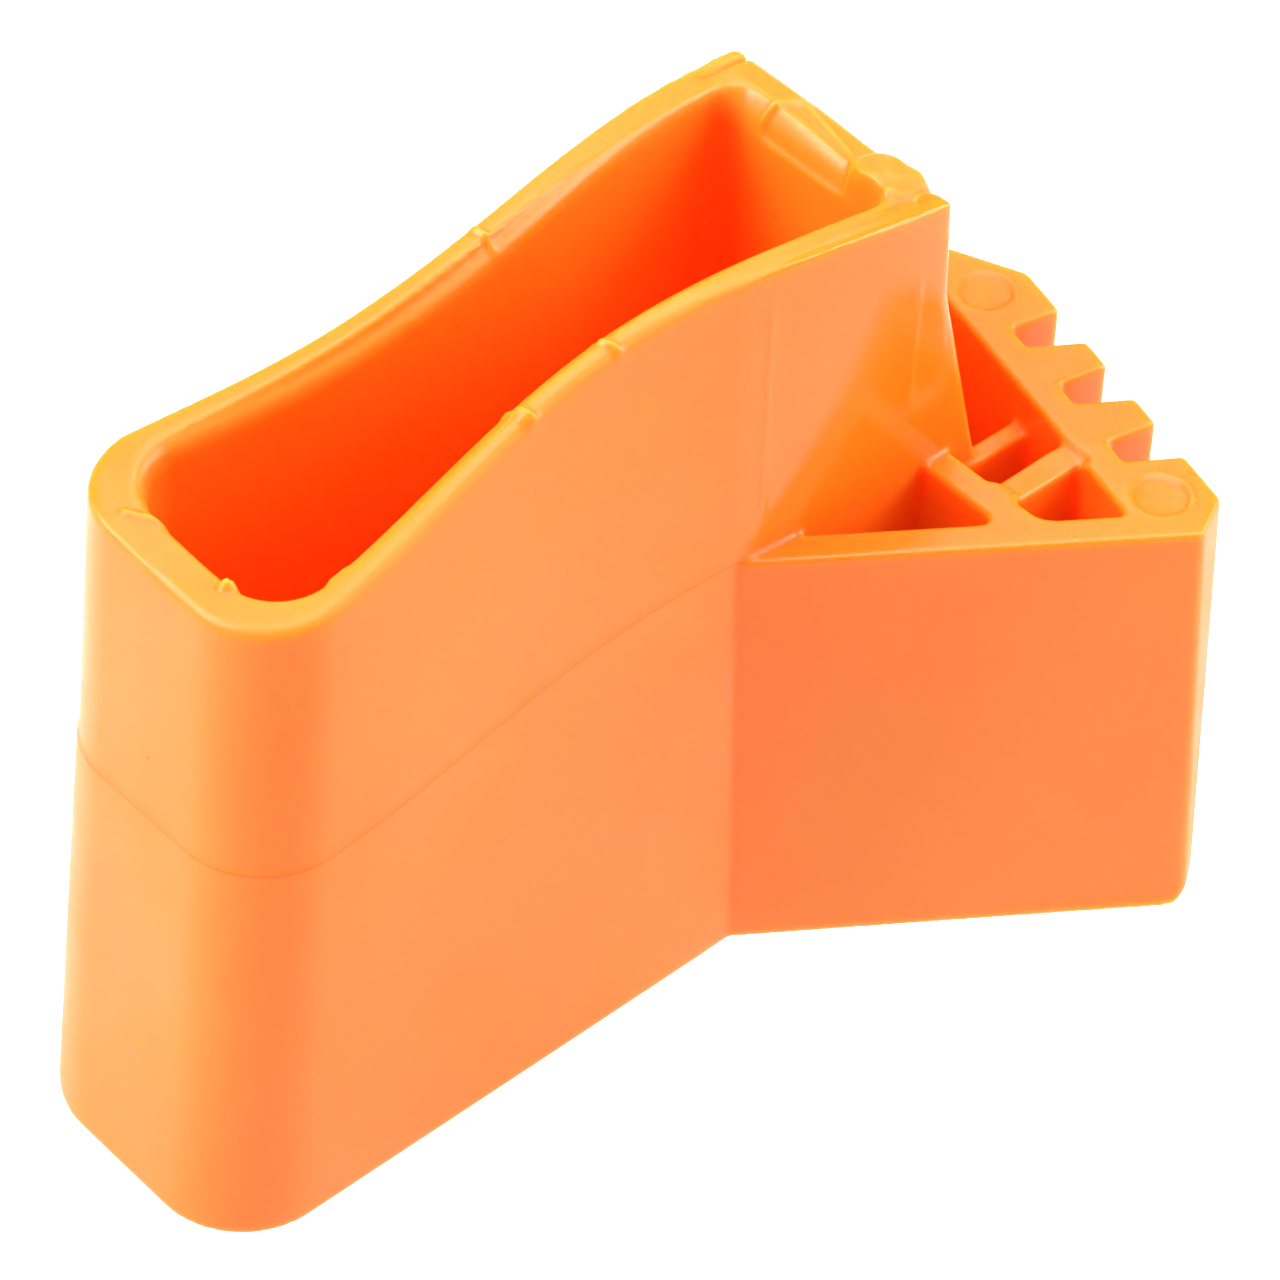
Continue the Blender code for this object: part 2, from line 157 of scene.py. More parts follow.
def right_outer(z):
    heights = (0.0, 59.0, FAN_TOP, 91.0, 107.3)
    return float(np.interp(z, heights, (62.4, 63.5, 61.6, 53.9, 52.7)))


def rim(x):
    """Height of the sleeve's rim, for a number or for an array."""
    u = np.maximum(0.0, (x - RIM_START) / RIM_RUN)
    climb = RIM_LOW + RIM_RISE * (0.5 - 0.5 * np.cos(np.pi * u))
    fall = CREST_HEIGHT - RIM_FALL * ((x - CREST_X) / RIM_FALL_RUN) ** 2
    return np.where(x <= CREST_X, climb, fall)


def parting(x):
    """Height of the mould's parting line on the sleeve."""
    u = clamp((x - PARTING_START) / PARTING_RUN)
    return PARTING_LOW + PARTING_RISE * (0.5 - 0.5 * math.cos(math.pi * u))


def tread_xy(n, s):
    """The point at distance n out from the origin and s along the tread."""
    c, k = math.cos(TILT), math.sin(TILT)
    return n * c - s * k, -n * k - s * c


# ---- mesh helpers -----------------------------------------------------------------------------
def make_object(name, bm):
    bmesh.ops.recalc_face_normals(bm, faces=bm.faces)
    if bm.calc_volume(signed=True) < 0.0:
        bmesh.ops.reverse_faces(bm, faces=bm.faces)
    mesh = bpy.data.meshes.new(name)
    bm.to_mesh(mesh)
    bm.free()
    obj = bpy.data.objects.new(name, mesh)
    bpy.context.scene.collection.objects.link(obj)
    return obj


def remove(obj):
    mesh = obj.data
    bpy.data.objects.remove(obj, do_unlink=True)
    bpy.data.meshes.remove(mesh)


def apply_modifiers(obj):
    depsgraph = bpy.context.evaluated_depsgraph_get()
    mesh = bpy.data.meshes.new_from_object(obj.evaluated_get(depsgraph))
    obj.modifiers.clear()
    old = obj.data
    obj.data = mesh
    bpy.data.meshes.remove(old)


def combine(obj, tool, operation):
    mod = obj.modifiers.new("combine", "BOOLEAN")
    mod.operation = operation
    mod.solver = "EXACT"
    mod.object = tool
    apply_modifiers(obj)
    remove(tool)


def filleted(points, radii, steps=5):
    """A closed outline with each corner rounded, in the same number of points per corner."""
    out = []
    count = len(points)
    for i in range(count):
        p = Vector(points[i])
        a = Vector(points[i - 1]) - p
        b = Vector(points[(i + 1) % count]) - p
        angle = a.angle(b)
        cut = min(radii[i] / math.tan(0.5 * angle), 0.45 * a.length, 0.45 * b.length)
        r = cut * math.tan(0.5 * angle)
        start = p + a.normalized() * cut
        end = p + b.normalized() * cut
        middle = (a.normalized() + b.normalized()).normalized()
        centre = p + middle * (r / math.sin(0.5 * angle))
        va, vb = start - centre, end - centre
        sweep = va.angle(vb)
        for k in range(steps + 1):
            t = k / steps
            if sweep < 1e-4:
                q = start.lerp(end, t)
            else:
                blend = va * math.sin((1 - t) * sweep) + vb * math.sin(t * sweep)
                q = centre + blend / math.sin(sweep)
            out.append((q.x, q.y))
    return out


def inset(points, d):
    """Move a closed outline inwards by d (outwards when d is negative)."""
    area = sum(a[0] * b[1] - b[0] * a[1] for a, b in zip(points, points[1:] + points[:1]))
    side = 1.0 if area > 0 else -1.0
    out = []
    count = len(points)
    for i in range(count):
        p = Vector(points[i])
        a = (p - Vector(points[i - 1])).normalized()
        b = (Vector(points[(i + 1) % count]) - p).normalized()
        na = Vector((-a.y, a.x)) * side
        nb = Vector((-b.y, b.x)) * side
        n = na + nb
        n = n / max(0.5, n.dot(na))
        out.append((p.x + n.x * d, p.y + n.y * d))
    return out


def stack(name, rings):
    """Closed solid through rings of (outline, z), each with the same number of points."""
    bm = bmesh.new()
    made = []
    for points, z in rings:
        made.append([bm.verts.new((x * MM, y * MM, z * MM)) for x, y in points])
    count = len(made[0])
    for low, high in zip(made, made[1:]):
        for i in range(count):
            j = (i + 1) % count
            bm.faces.new((low[i], low[j], high[j], high[i]))
    bm.faces.new(made[0])
    bm.faces.new(made[-1])
    return make_object(name, bm)


def rounding(radius, count=5):
    """Steps of a quarter round, as (distance from the edge's level, set-back)."""
    steps = []
    for k in range(count + 1):
        a = 0.5 * math.pi * k / count
        steps.append((radius * (1.0 - math.sin(a)), radius * (1.0 - math.cos(a))))
    return steps


def half_line(z, x_left, x_right, r_left, r_right, wall, mid, stations):
    """Half of a plan outline, from the middle of the left end to the middle of the right end."""
    side = 1.0 if wall(0.0, z) > mid else -1.0
    points = []
    cl = x_left + r_left
    cr = x_right - r_right
    edge = wall(cl, z) - side * r_left
    for k in range(END_RUN + 1):
        points.append((x_left, mid + (edge - mid) * k / END_RUN))
    for k in range(1, ROUND_STEPS + 1):
        a = 0.5 * math.pi * k / ROUND_STEPS
        points.append((cl - r_left * math.cos(a), edge + side * r_left * math.sin(a)))
    for k in range(1, stations):
        x = cl + (cr - cl) * k / stations
        points.append((x, wall(x, z)))
    edge = wall(cr, z) - side * r_right
    for k in range(CORNER_STEPS + 1):
        a = 0.5 * math.pi * k / CORNER_STEPS
        points.append((cr + r_right * math.sin(a), edge + side * r_right * math.cos(a)))
    for k in range(1, END_RUN + 1):
        points.append((x_right, edge + (mid - edge) * k / END_RUN))
    return points


def loft(name, levels, line):
    """Closed solid from level outlines; line(level, sign) gives one half outline as (x, y, z)."""
    bm = bmesh.new()
    rings = []
    for level in levels:
        near = line(level, -1)
        far = line(level, 1)
        count = len(near)
        near_v = [bm.verts.new([c * MM for c in p]) for p in near]
        far_v = [bm.verts.new([c * MM for c in p]) for p in far[1:-1]]
        rings.append((near_v, [near_v[0]] + far_v + [near_v[-1]]))
    for (n0, f0), (n1, f1) in zip(rings, rings[1:]):
        for i in range(count - 1):
            bm.faces.new((n0[i], n0[i + 1], n1[i + 1], n1[i]))
            bm.faces.new((f0[i + 1], f0[i], f1[i], f1[i + 1]))
    for near_v, far_v in (rings[0], rings[-1]):
        # each end's straight run goes into one polygon, so that no face collapses to a line
        first, last = END_RUN + 2, count - END_RUN - 3
        bm.faces.new(near_v[first::-1] + far_v[1:first + 1])
        for i in range(first, last):
            bm.faces.new((near_v[i], near_v[i + 1], far_v[i + 1], far_v[i]))
        bm.faces.new(near_v[last:] + far_v[last:-1][::-1])
    return make_object(name, bm)


# ---- the moulding's solids --------------------------------------------------------------------
def facet(x, z):
    """Set-back of the small facet above the fan, beside the tread end's near corner."""
    edge = 54.4 - 0.9 * clamp((z - FAN_TOP) / 25.4)
    return max(0.0, x - edge) * 0.10 * clamp((92.0 - z) / 6.0)


def sleeve_outside():
    """Levels run up to the parting line, step in across it, then run up to the rounded rim."""
    levels = [("low", 0.0, d, s) for d, s in rounding(EDGE)[::-1]]
    levels += [("low", k / 16, 0.0, 0.0) for k in range(1, 16)]
    levels += [("low", 1.0, -CREASE, 0.0), ("line", 1.0, 0.0, 0.0), ("high", 0.0, CREASE, 0.0)]
    levels += [("high", k / 14, 0.0, 0.0) for k in range(1, 14)]
    levels += [("high", 1.0, -d, s) for d, s in rounding(EDGE)]

    def line(level, sign):
        zone, t, level_shift, level_back = level
        wall = near_outer if sign < 0 else far_outer
        out = {"low": STEP, "line": STEP + FLASH, "high": -STEP}[zone]

        def moved(x, z, back):
            # the step fades where the fan joins the near wall
            fade = clamp((FAN_JOIN - x) / 2.0) if sign < 0 else 1.0
            cut = facet(x, z) if sign < 0 else 0.0
            return wall(x, z) + sign * (out * fade - back - cut)

        points = []
        base = half_line(STATION_HEIGHT, left_outer(STATION_HEIGHT), right_outer(STATION_HEIGHT),
                         ROUND_RADIUS[sign], TREAD_END_RADII[0], wall, 0.0, OUTER_STATIONS)
        for i, (x, _) in enumerate(base):
            split, top = parting(x), float(rim(x))
            # the rim's outer edge is softer along the rounded end than at the tread end
            soft = 1.0
            if zone == "high" and t == 1.0:
                soft += RIM_SOFTER[sign] * clamp((44.0 - x) / 30.0)
            shift, back = level_shift * soft, level_back * soft
            z = shift + (split + t * (top - split) if zone == "high" else t * split)
            radius = ROUND_RADIUS[sign] - ROUND_TAPER[sign] * z
            small = float(np.interp(z, (FAN_TOP, TREAD_END_RIM), TREAD_END_RADII))
            got = half_line(z, left_outer(z) - out + back, right_outer(z) - back, radius - back,
                            max(0.4, small - back), lambda x, z: moved(x, z, back), 0.0,
                            OUTER_STATIONS)
            points.append((got[i][0], got[i][1], z))
        return points

    return loft("sleeve_outside", levels, line)


def quarter(depth, full, width):
    """Set-back of a convex lead-in at a depth below the rim."""
    u = clamp(1.0 - depth / full)
    return width * (1.0 - math.sqrt(max(0.0, 1.0 - u * u)))


def sleeve_cavity():
    """Cutter for the socket, with its lead-in, reaching past the mouth."""
    depths = [LEAD, 5.0, 4.0, 3.2, LEAD_LONG, 2.3, 1.8, 1.45, 1.1, 0.8, 0.55, 0.35, 0.2, 0.1, 0.03,
              0.0, -8.0]
    levels = [("up", k / 20) for k in range(20)] + [("rim", d) for d in depths]

    def line(level, sign):
        kind, value = level
        depth = value if kind == "rim" else LEAD
        end = quarter(depth, LEAD, LEAD_END)
        side = quarter(depth, LEAD_LONG, LEAD_SIDE)
        corner = CAVITY_CORNER + 0.8 * clamp(1.0 - depth / LEAD)
        wall = near_inner if sign < 0 else far_inner

        def widened(x, z):
            return wall(x, z) + sign * side

        points = []
        base = half_line(STATION_HEIGHT, CAVITY_LEFT, CAVITY_RIGHT, CAVITY_ROUND, CAVITY_CORNER,
                         wall, CAVITY_MID, CAVITY_STATIONS)
        for i, (x, _) in enumerate(base):
            full = float(rim(x))
            z = full - depth if kind == "rim" else FLOOR + value * (full - LEAD - FLOOR)
            got = half_line(min(z, full), CAVITY_LEFT - side, CAVITY_RIGHT + end,
                            CAVITY_ROUND + side, corner, widened, CAVITY_MID, CAVITY_STATIONS)
            points.append((got[i][0], got[i][1], z))
        return points

    return loft("sleeve_cavity", levels, line)


# ends of the fan's side walls and of its tread: True at the fan's top, False at its base
NEAR_ROOT = {True: (21.4, near_outer(21.4, FAN_TOP)), False: (23.3, -NEAR_HALF_WIDTH)}
NEAR_END = {True: (69.6, -50.1), False: (73.9, -54.9)}
FAR_ROOT = {True: (61.5, far_outer(60.0, FAN_TOP) - 2.0),
            False: (62.7, far_outer(60.0, 0.0) - 2.0)}
FAR_END = {True: (83.5, 8.9), False: (86.0, 12.0)}
NEAR_CORNER = {True: 25.5, False: 30.2}
FAR_CORNER = {True: -20.9, False: -23.9}


def line_at(p, q, n):
    """Where the line through p and q crosses the tread's parallel at distance n."""
    c, k = math.cos(TILT), math.sin(TILT)
    a = p[0] * c - p[1] * k
    b = q[0] * c - q[1] * k
    u = (n - a) / (b - a)
    return p[0] + (q[0] - p[0]) * u, p[1] + (q[1] - p[1]) * u


def line_x(p, q, x):
    return x, p[1] + (q[1] - p[1]) * (x - p[0]) / (q[0] - p[0])


def line_y(p, q, y):
    return p[0] + (q[0] - p[0]) * (y - p[1]) / (q[1] - p[1]), y


def offset(p, q, d):
    length = math.hypot(q[0] - p[0], q[1] - p[1])
    ox = -(q[1] - p[1]) / length * d
    oy = (q[0] - p[0]) / length * d
    return (p[0] + ox, p[1] + oy), (q[0] + ox, q[1] + oy)


def fan_outline(top):
    """Plan outline of the fan with its notches; its root lies inside the sleeve."""
    lean = 0.0 if top else FLARE
    points = [(NEAR_ROOT[top][0] + 1.5, -14.0), NEAR_ROOT[top], NEAR_END[top],
              tread_xy(TIP + lean, NEAR_CORNER[top])]
    for k in (2, 1, 0):
        s = NOTCH + k * PITCH
        points += [tread_xy(TIP + lean, s + NOTCH_MOUTH), tread_xy(ROOT + lean, s + NOTCH_FLOOR[1]),
                   tread_xy(ROOT + lean, s + NOTCH_FLOOR[0]), tread_xy(TIP + lean, s)]
    points += [tread_xy(TIP + lean, FAR_CORNER[top]), FAR_END[top], FAR_ROOT[top], (50.0, 16.0)]
    radii = [1.5, 1.5, 1.3, 1.1] + [0.7, 0.5, 0.5, 0.7] * 3 + [1.1, 1.3, 1.5, 1.5]
    return filleted(points, radii)


def tread_pull(points, z):
    """Roll the foot of the tread inwards by a larger radius than the other edges."""
    c, k = math.cos(TILT), math.sin(TILT)
    depth = clamp(1.0 - z / FOOT_ROLL)
    pull = FOOT_ROLL * (1.0 - math.sqrt(1.0 - depth * depth)) * 0.8
    out = []
    for x, y in points:
        weight = clamp((x * c - y * k - 76.0) / 6.0)
        out.append((x - c * pull * weight, y + k * pull * weight))
    return out


def pocket(name, corners, radii, floor=FLOOR):
    """Cutter for a cored-out pocket, its upper edge eased."""
    plan = filleted(corners, radii)
    rings = [(plan, floor), (plan, FAN_TOP - POCKET_EASE)]
    rings += [(inset(plan, -s), FAN_TOP - d) for d, s in rounding(POCKET_EASE)[1:]]
    rings.append((inset(plan, -POCKET_EASE), FAN_TOP + 9.0))
    return stack(name, rings)


def fan():
    low, high = fan_outline(False), fan_outline(True)
    rings = []
    for z in (0.0, 0.12, 0.35, 0.7, 1.2, 1.9, 2.6, FOOT_ROLL, 12.0, 24.0, 36.0, 48.0, 58.0):
        rise = min(z, BASE_EDGE)
        rings.append((z, BASE_EDGE - math.sqrt(BASE_EDGE ** 2 - (BASE_EDGE - rise) ** 2)))
    rings += [(FAN_TOP - d, s) for d, s in rounding(EDGE)]
    solid = []
    for z, back in rings:
        t = z / FAN_TOP
        plan = [(p[0] + (q[0] - p[0]) * t, p[1] + (q[1] - p[1]) * t) for p, q in zip(low, high)]
        solid.append((inset(tread_pull(plan, z), back), z))
    body = stack("fan_body", solid)

    near = offset(NEAR_ROOT[True], NEAR_END[True], NEAR_WALL)
    far = offset(FAR_ROOT[True], FAR_END[True], -FAR_WALL)
    back = tread_xy(BACK, -60.0), tread_xy(BACK, 60.0)
    left, right = MAIN_RIB
    cross_near, cross_far = CROSS_RIB
    low_near, low_far = LOW_RIB
    cutters = [
        pocket("pocket_a", [(24.0, -8.0), line_x(*near, 24.0), line_x(*near, left), (left, -8.0)],
               [1.0, 1.0, 1.2, 1.0]),
        pocket("pocket_b", [(right, cross_near), line_x(*near, right), line_at(*near, BACK),
                            line_y(*back, cross_near)], [1.0, 4.5, 0.7, 1.0]),
        pocket("pocket_c", [(right, cross_far), line_y(*back, cross_far), line_y(*back, low_near),
                            (right, low_near)], [1.0, 1.2, 1.0, 0.6]),
        pocket("pocket_d", [(50.0, low_far), line_y(*back, low_far), line_at(*far, BACK),
                            line_x(*far, 50.0)], [1.0, 1.0, 1.8, 1.0]),
        # this one takes the low rib down
        pocket("pocket_low", [(right + 0.4, low_near - 1.0), line_y(*back, low_near - 1.0),
                              line_y(*back, low_far + 1.0), (right + 0.4, low_far + 1.0)],
               [0.5, 0.5, 0.5, 0.5], LOW_RIB_TOP)]
    for tool in cutters:
        combine(body, tool, "DIFFERENCE")
    return body


# ---- the small marks of the mould, as vertex moves --------------------------------------------
def smooth_step(value):
    value = np.clip(value, 0.0, 1.0)
    return value * value * (3.0 - 2.0 * value)


def wobble(x, y, scale):
    """A cheap smooth noise of about -1 to 1."""
    return (np.sin(x * 1.31 * scale + 1.7 * np.sin(y * 0.83 * scale + 0.4))
            + np.sin(y * 1.73 * scale + 1.3 * np.sin(x * 0.61 * scale + 2.1))
            + np.sin((x + y) * 0.97 * scale + 4.0)) / 3.0


def ridge(distance, width):
    """1 on a line, falling off smoothly beside it."""
    return np.exp(-(distance / width) ** 2)


def segment_distance(x, y, a, b):
    """Distance in plan from the segment between a and b."""
    ax, ay = a
    dx, dy = b[0] - ax, b[1] - ay
    t = np.clip(((x - ax) * dx + (y - ay) * dy) / (dx * dx + dy * dy), 0.0, 1.0)
    return np.hypot(x - ax - t * dx, y - ay - t * dy)


RIM_MARKS = (
    # start and end in plan, height, half width
    ((-50.2, 9.1), (-47.5, 4.8), 0.50, 0.38),
    ((-48.2, 6.8), (-47.3, 5.5), 0.30, 0.50),
    ((-48.6, -6.4), (-46.7, -7.4), 1.40, 0.50),
    ((-39.3, -13.3), (-37.2, -12.9), 0.55, 0.60),
    ((-10.9, -9.8), (-9.4, -13.9), 0.60, 0.45),
    ((-10.6, -12.8), (-9.8, -13.6), 0.55, 0.70),
    ((2.4, -10.0), (4.3, -14.7), 0.55, 0.45),
    ((4.2, 12.8), (5.1, 7.0), 0.55, 0.42),
    ((5.6, 8.2), (6.0, 6.9), 0.65, 0.60),
    ((-8.3, 8.6), (-9.1, 6.6), 0.30, 0.40),
)
EJECTOR_MARKS = ((81.3, -1.2), (70.7, -41.8))               # centres on the fan's top
WITNESS_LINES = ((25.5, 69.0, 106.0), (48.2, 72.0, 99.0))   # x, lowest and highest point


def read_vectors(vertices, key):
    values = np.empty(len(vertices) * 3)
    vertices.foreach_get(key, values)
    return values.reshape(-1, 3)


def mould_marks(obj):
    """Move the skin's vertices: lift goes straight up, push goes along the normal."""
    mesh = obj.data
    co = read_vectors(mesh.vertices, "co") / MM
    normal = read_vectors(mesh.vertices, "normal")
    x, y, z = co[:, 0], co[:, 1], co[:, 2]
    top = rim(x)
    above = z - top
    lift = np.zeros(len(co))
    push = np.zeros(len(co))

    # the far side of the rounded end stands a little higher
    lift += 1.4 * smooth_step((y + 4.0) / 20.0) * smooth_step((-14.0 - x) / 38.0) \
        * smooth_step((z - 66.0) / 34.0)

    # the tread end's rim has its own level between the notches beside the long walls' ends
    near_rim = smooth_step((above + 3.4) / 2.6)
    between = smooth_step((17.4 - y) / 0.6) * smooth_step((y + 14.9) / 0.6)
    end = smooth_step((x - 46.5) / 2.5)
    lift += (0.65 * smooth_step((y + 6.0) / 12.0) - 0.35) * between * end * near_rim
    lift += 0.35 * smooth_step((y - 17.4) / 0.4) * end * near_rim
    seam = smooth_step((x - 43.5) / 1.5) * near_rim
    lift -= 0.55 * ridge(y - 17.2, 0.45) * seam
    lift -= 0.45 * ridge(y + 14.6, 0.45) * seam

    # shallow recess in the lead-in, with a fine raised lip; inside is the distance from its sides
    outer = 51.1 - 0.208 * (6.9 - y) - x
    lower = above + 5.4
    far_end = 6.8 + 0.35 * (50.7 - x) - y
    near_end = y + 4.9 + 0.35 * (49.0 - x)
    inside = -0.6 * np.log(np.exp(-outer / 0.6) + np.exp(-lower / 0.6) + np.exp(-far_end / 0.6)
                           + np.exp(-near_end / 0.6))
    shoulder = smooth_step((above + 6.0) / 1.5) * (x > 45.9)
    push -= 0.42 * smooth_step((inside + 0.25) / 0.5) * shoulder
    push += 0.24 * ridge(inside + 0.5, 0.28) * shoulder * smooth_step((lower - 1.2) / 1.0)

    # lump of flash beside it, which fills the lead-in, and its tail
    lump = smooth_step((3.8 - segment_distance(x, y, (49.6, -8.3), (49.8, -12.0))) / 1.3) \
        * smooth_step((above + 5.0) / 2.0)
    crown = top + 0.55 - 0.05 * (x - 50.5) ** 2 - 0.04 * (y + 10.4) ** 2 + 0.16 * wobble(x, y, 1.1)
    lift += lump * np.maximum(0.0, crown - z) * (x > 45.8)
    tail = segment_distance(x, y, (43.6, -9.4), (46.4, -12.2))
    lift += 0.6 * ridge(tail, 0.7) * smooth_step((above + 3.0) / 1.6)

    # scars across the rim
    for a, b, height, width in RIM_MARKS:
        scar = ridge(segment_distance(x, y, a, b), width)
        lift += height * scar * smooth_step((above + 2.6) / 1.6)

    # the ejector pins' round marks
    flat = np.abs(z - FAN_TOP) < 0.25
    for cx, cy in EJECTOR_MARKS:
        r = np.hypot(x - cx, y - cy)
        lift -= flat * (0.32 * smooth_step((3.75 - r) / 0.4) - 0.07 * ridge(r - 4.0, 0.3))

    # the cross rib was left lower and rough
    rib = smooth_step((z - FAN_TOP + 2.4) / 2.0) * smooth_step((x - 56.4) / 1.2) \
        * smooth_step((y + 31.9) / 0.5) * smooth_step((-25.8 - y) / 0.5) \
        * smooth_step((69.4 - x) / 1.2)
    lift -= rib * (0.75 + 0.22 * wobble(x, y, 0.55))
    co += normal * push[:, None]
    co[:, 2] += lift

    # upright witness lines on the near wall
    outside = smooth_step((-15.0 - y) / 1.0)
    for line, low, high in WITNESS_LINES:
        mask = smooth_step((z - low) / 4.0) * smooth_step((high - z) / 4.0) * outside
        co[:, 1] -= 0.10 * ridge(x - line, 0.45) * mask
    mesh.vertices.foreach_set("co", (co * MM).ravel())
    mesh.update()


def moulding():
    """The whole foot as one skin: solids joined and cut, remeshed, softened, marked, thinned."""
    body = sleeve_outside()
    combine(body, fan(), "UNION")
    combine(body, sleeve_cavity(), "DIFFERENCE")
    body.name = "foot_moulding"
    body.data.name = "foot_moulding"
    mod = body.modifiers.new("remesh", "REMESH")
    mod.mode = "VOXEL"
    mod.voxel_size = VOXEL
    smooth = body.modifiers.new("soften", "SMOOTH")
    smooth.iterations = SMOOTH_ROUNDS
    smooth.factor = 0.5
    apply_modifiers(body)
    mould_marks(body)
    thin = body.modifiers.new("thin", "DECIMATE")
    thin.ratio = KEPT_FACES
    apply_modifiers(body)
    return body


# ---- material; its nodes measure in metres -----------------------------------------------------
ORANGE = (1.0, 0.184, 0.006, 1.0)
PALER_ORANGE = (1.0, 0.202, 0.009, 1.0)
# painted shade for the parting line's crease
CREASE_PAINTED_SHADE = (0.78, 0.09, 0.004, 1.0)
SPECK_COLOUR = (0.30, 0.03, 0.01, 1.0)


class Graph:
    """Small helper to wire a material's nodes."""

    def __init__(self, name):
        self.mat = bpy.data.materials.new(name)
        self.mat.use_nodes = True
        self.nodes = self.mat.node_tree.nodes
        self.links = self.mat.node_tree.links
        self.bsdf = self.nodes["Principled BSDF"]
        self.coord = self.nodes.new("ShaderNodeTexCoord").outputs["Object"]
        split = self.nodes.new("ShaderNodeSeparateXYZ")
        self.links.new(self.coord, split.inputs[0])
        self.x, self.y, self.z = split.outputs

    def feed(self, socket, value):
        if isinstance(value, bpy.types.NodeSocket):
            self.links.new(value, socket)
        else:
            socket.default_value = value

    def math(self, operation, *values):
        node = self.nodes.new("ShaderNodeMath")
        node.operation = operation
        for socket, value in zip(node.inputs, values):
            self.feed(socket, value)
        return node.outputs[0]

    def ramp(self, source, a, b, ca=0.0, cb=1.0, kind="LINEAR"):
        node = self.nodes.new("ShaderNodeMapRange")
        node.interpolation_type = kind
        for name, value in (("Value", source), ("From Min", a), ("From Max", b),
                            ("To Min", ca), ("To Max", cb)):
            self.feed(node.inputs[name], value)
        return node.outputs["Result"]

    def noise(self, scale, detail=2.0, roughness=0.5):
        node = self.nodes.new("ShaderNodeTexNoise")
        node.inputs["Scale"].default_value = scale
        node.inputs["Detail"].default_value = detail
        node.inputs["Roughness"].default_value = roughness
        self.links.new(self.coord, node.inputs["Vector"])
        return node.outputs["Fac"]

    def mix(self, factor, a, b):
        node = self.nodes.new("ShaderNodeMix")
        node.data_type = "RGBA"
        self.feed(node.inputs[0], factor)
        self.feed(node.inputs[6], a)
        self.feed(node.inputs[7], b)
        return node.outputs[2]


def orange_plastic():
    g = Graph("orange_plastic_skin")
    cloud = g.ramp(g.noise(26.0, 3.0), 0.35, 0.65)
    colour = g.mix(cloud, ORANGE, PALER_ORANGE)

    # parting line: a fine crease on the sleeve's outside, dented in the bump and darkened there
    # with painted shade
    u = g.math("MULTIPLY_ADD", g.x, 1.0 / (PARTING_RUN * MM), -PARTING_START / PARTING_RUN)
    u = g.ramp(u, 0.0, 1.0, 0.0, math.pi)
    height = g.math("MULTIPLY_ADD", g.math("COSINE", u), -0.5 * PARTING_RISE * MM,
                    (PARTING_LOW + 0.5 * PARTING_RISE) * MM)
    gap = g.math("ABSOLUTE", g.math("SUBTRACT", g.z, height))
    line = g.ramp(gap, 0.00008, 0.00028, 1.0, 0.0, "SMOOTHSTEP")
    outside = g.math("MAXIMUM", g.math("GREATER_THAN", g.math("ABSOLUTE", g.y), 0.0155),
                     g.math("LESS_THAN", g.x, -0.052))
    line = g.math("MULTIPLY", line, outside)
    free = g.math("MAXIMUM", g.math("LESS_THAN", g.x, 0.0225), g.math("GREATER_THAN", g.y, 0.0))
    line = g.math("MULTIPLY", line, free)
    # painted shade: the crease line is mixed towards a darker orange, standing in for the shade in
    # the crease
    colour = g.mix(g.math("MULTIPLY", line, 0.45), colour, CREASE_PAINTED_SHADE)

    # sparse dark specks moulded into the plastic
    cells = g.nodes.new("ShaderNodeTexVoronoi")
    cells.inputs["Scale"].default_value = 75.0
    g.links.new(g.coord, cells.inputs["Vector"])
    pick = g.nodes.new("ShaderNodeSeparateColor")
    g.links.new(cells.outputs["Color"], pick.inputs[0])
    dot = g.ramp(cells.outputs["Distance"], 0.012, 0.026, 1.0, 0.0)
    dot = g.math("MULTIPLY", dot, g.math("GREATER_THAN", pick.outputs[0], 0.62))
    colour = g.mix(g.math("MULTIPLY", dot, 0.6), colour, SPECK_COLOUR)
    g.links.new(colour, g.bsdf.inputs["Base Color"])

    # satin skin, glossier on the near wall's tread half above the fan
    patch = g.ramp(g.noise(38.0, 2.0), 0.42, 0.6)
    edge = g.math("MULTIPLY_ADD", g.noise(70.0, 2.0), 0.010, g.x)
    polished = g.math("MULTIPLY", g.ramp(edge, 0.026, 0.031), g.math("LESS_THAN", g.y, -0.0150))
    polished = g.math("MULTIPLY", polished, g.ramp(g.z, 0.064, 0.068))
    scuff = g.noise(300.0, 4.0, 0.6)
    rough = g.math("MULTIPLY_ADD", patch, 0.10, 0.29)
    rough = g.math("MULTIPLY_ADD", scuff, 0.12, rough)
    rough = g.math("MULTIPLY", rough, g.math("MULTIPLY_ADD", polished, -0.62, 1.0))
    g.links.new(rough, g.bsdf.inputs["Roughness"])

    # fine and wide unevenness, and the parting line's crease
    fine = g.noise(1500.0, 2.0)
    wide = g.math("MULTIPLY_ADD", g.noise(60.0, 2.0, 0.4), 7.0, fine)
    total = g.math("MULTIPLY_ADD", line, -2.5, wide)
    bump = g.nodes.new("ShaderNodeBump")
    bump.inputs["Strength"].default_value = 0.14
    bump.inputs["Distance"].default_value = 0.0001
    g.links.new(total, bump.inputs["Height"])
    g.links.new(bump.outputs["Normal"], g.bsdf.inputs["Normal"])

    g.bsdf.inputs["IOR"].default_value = 1.50
    g.bsdf.inputs["Specular IOR Level"].default_value = 0.40
    g.bsdf.inputs["Subsurface Weight"].default_value = 0.80
    g.bsdf.inputs["Subsurface Radius"].default_value = (1.0, 0.60, 0.15)
    g.bsdf.inputs["Subsurface Scale"].default_value = 0.010
    return g.mat


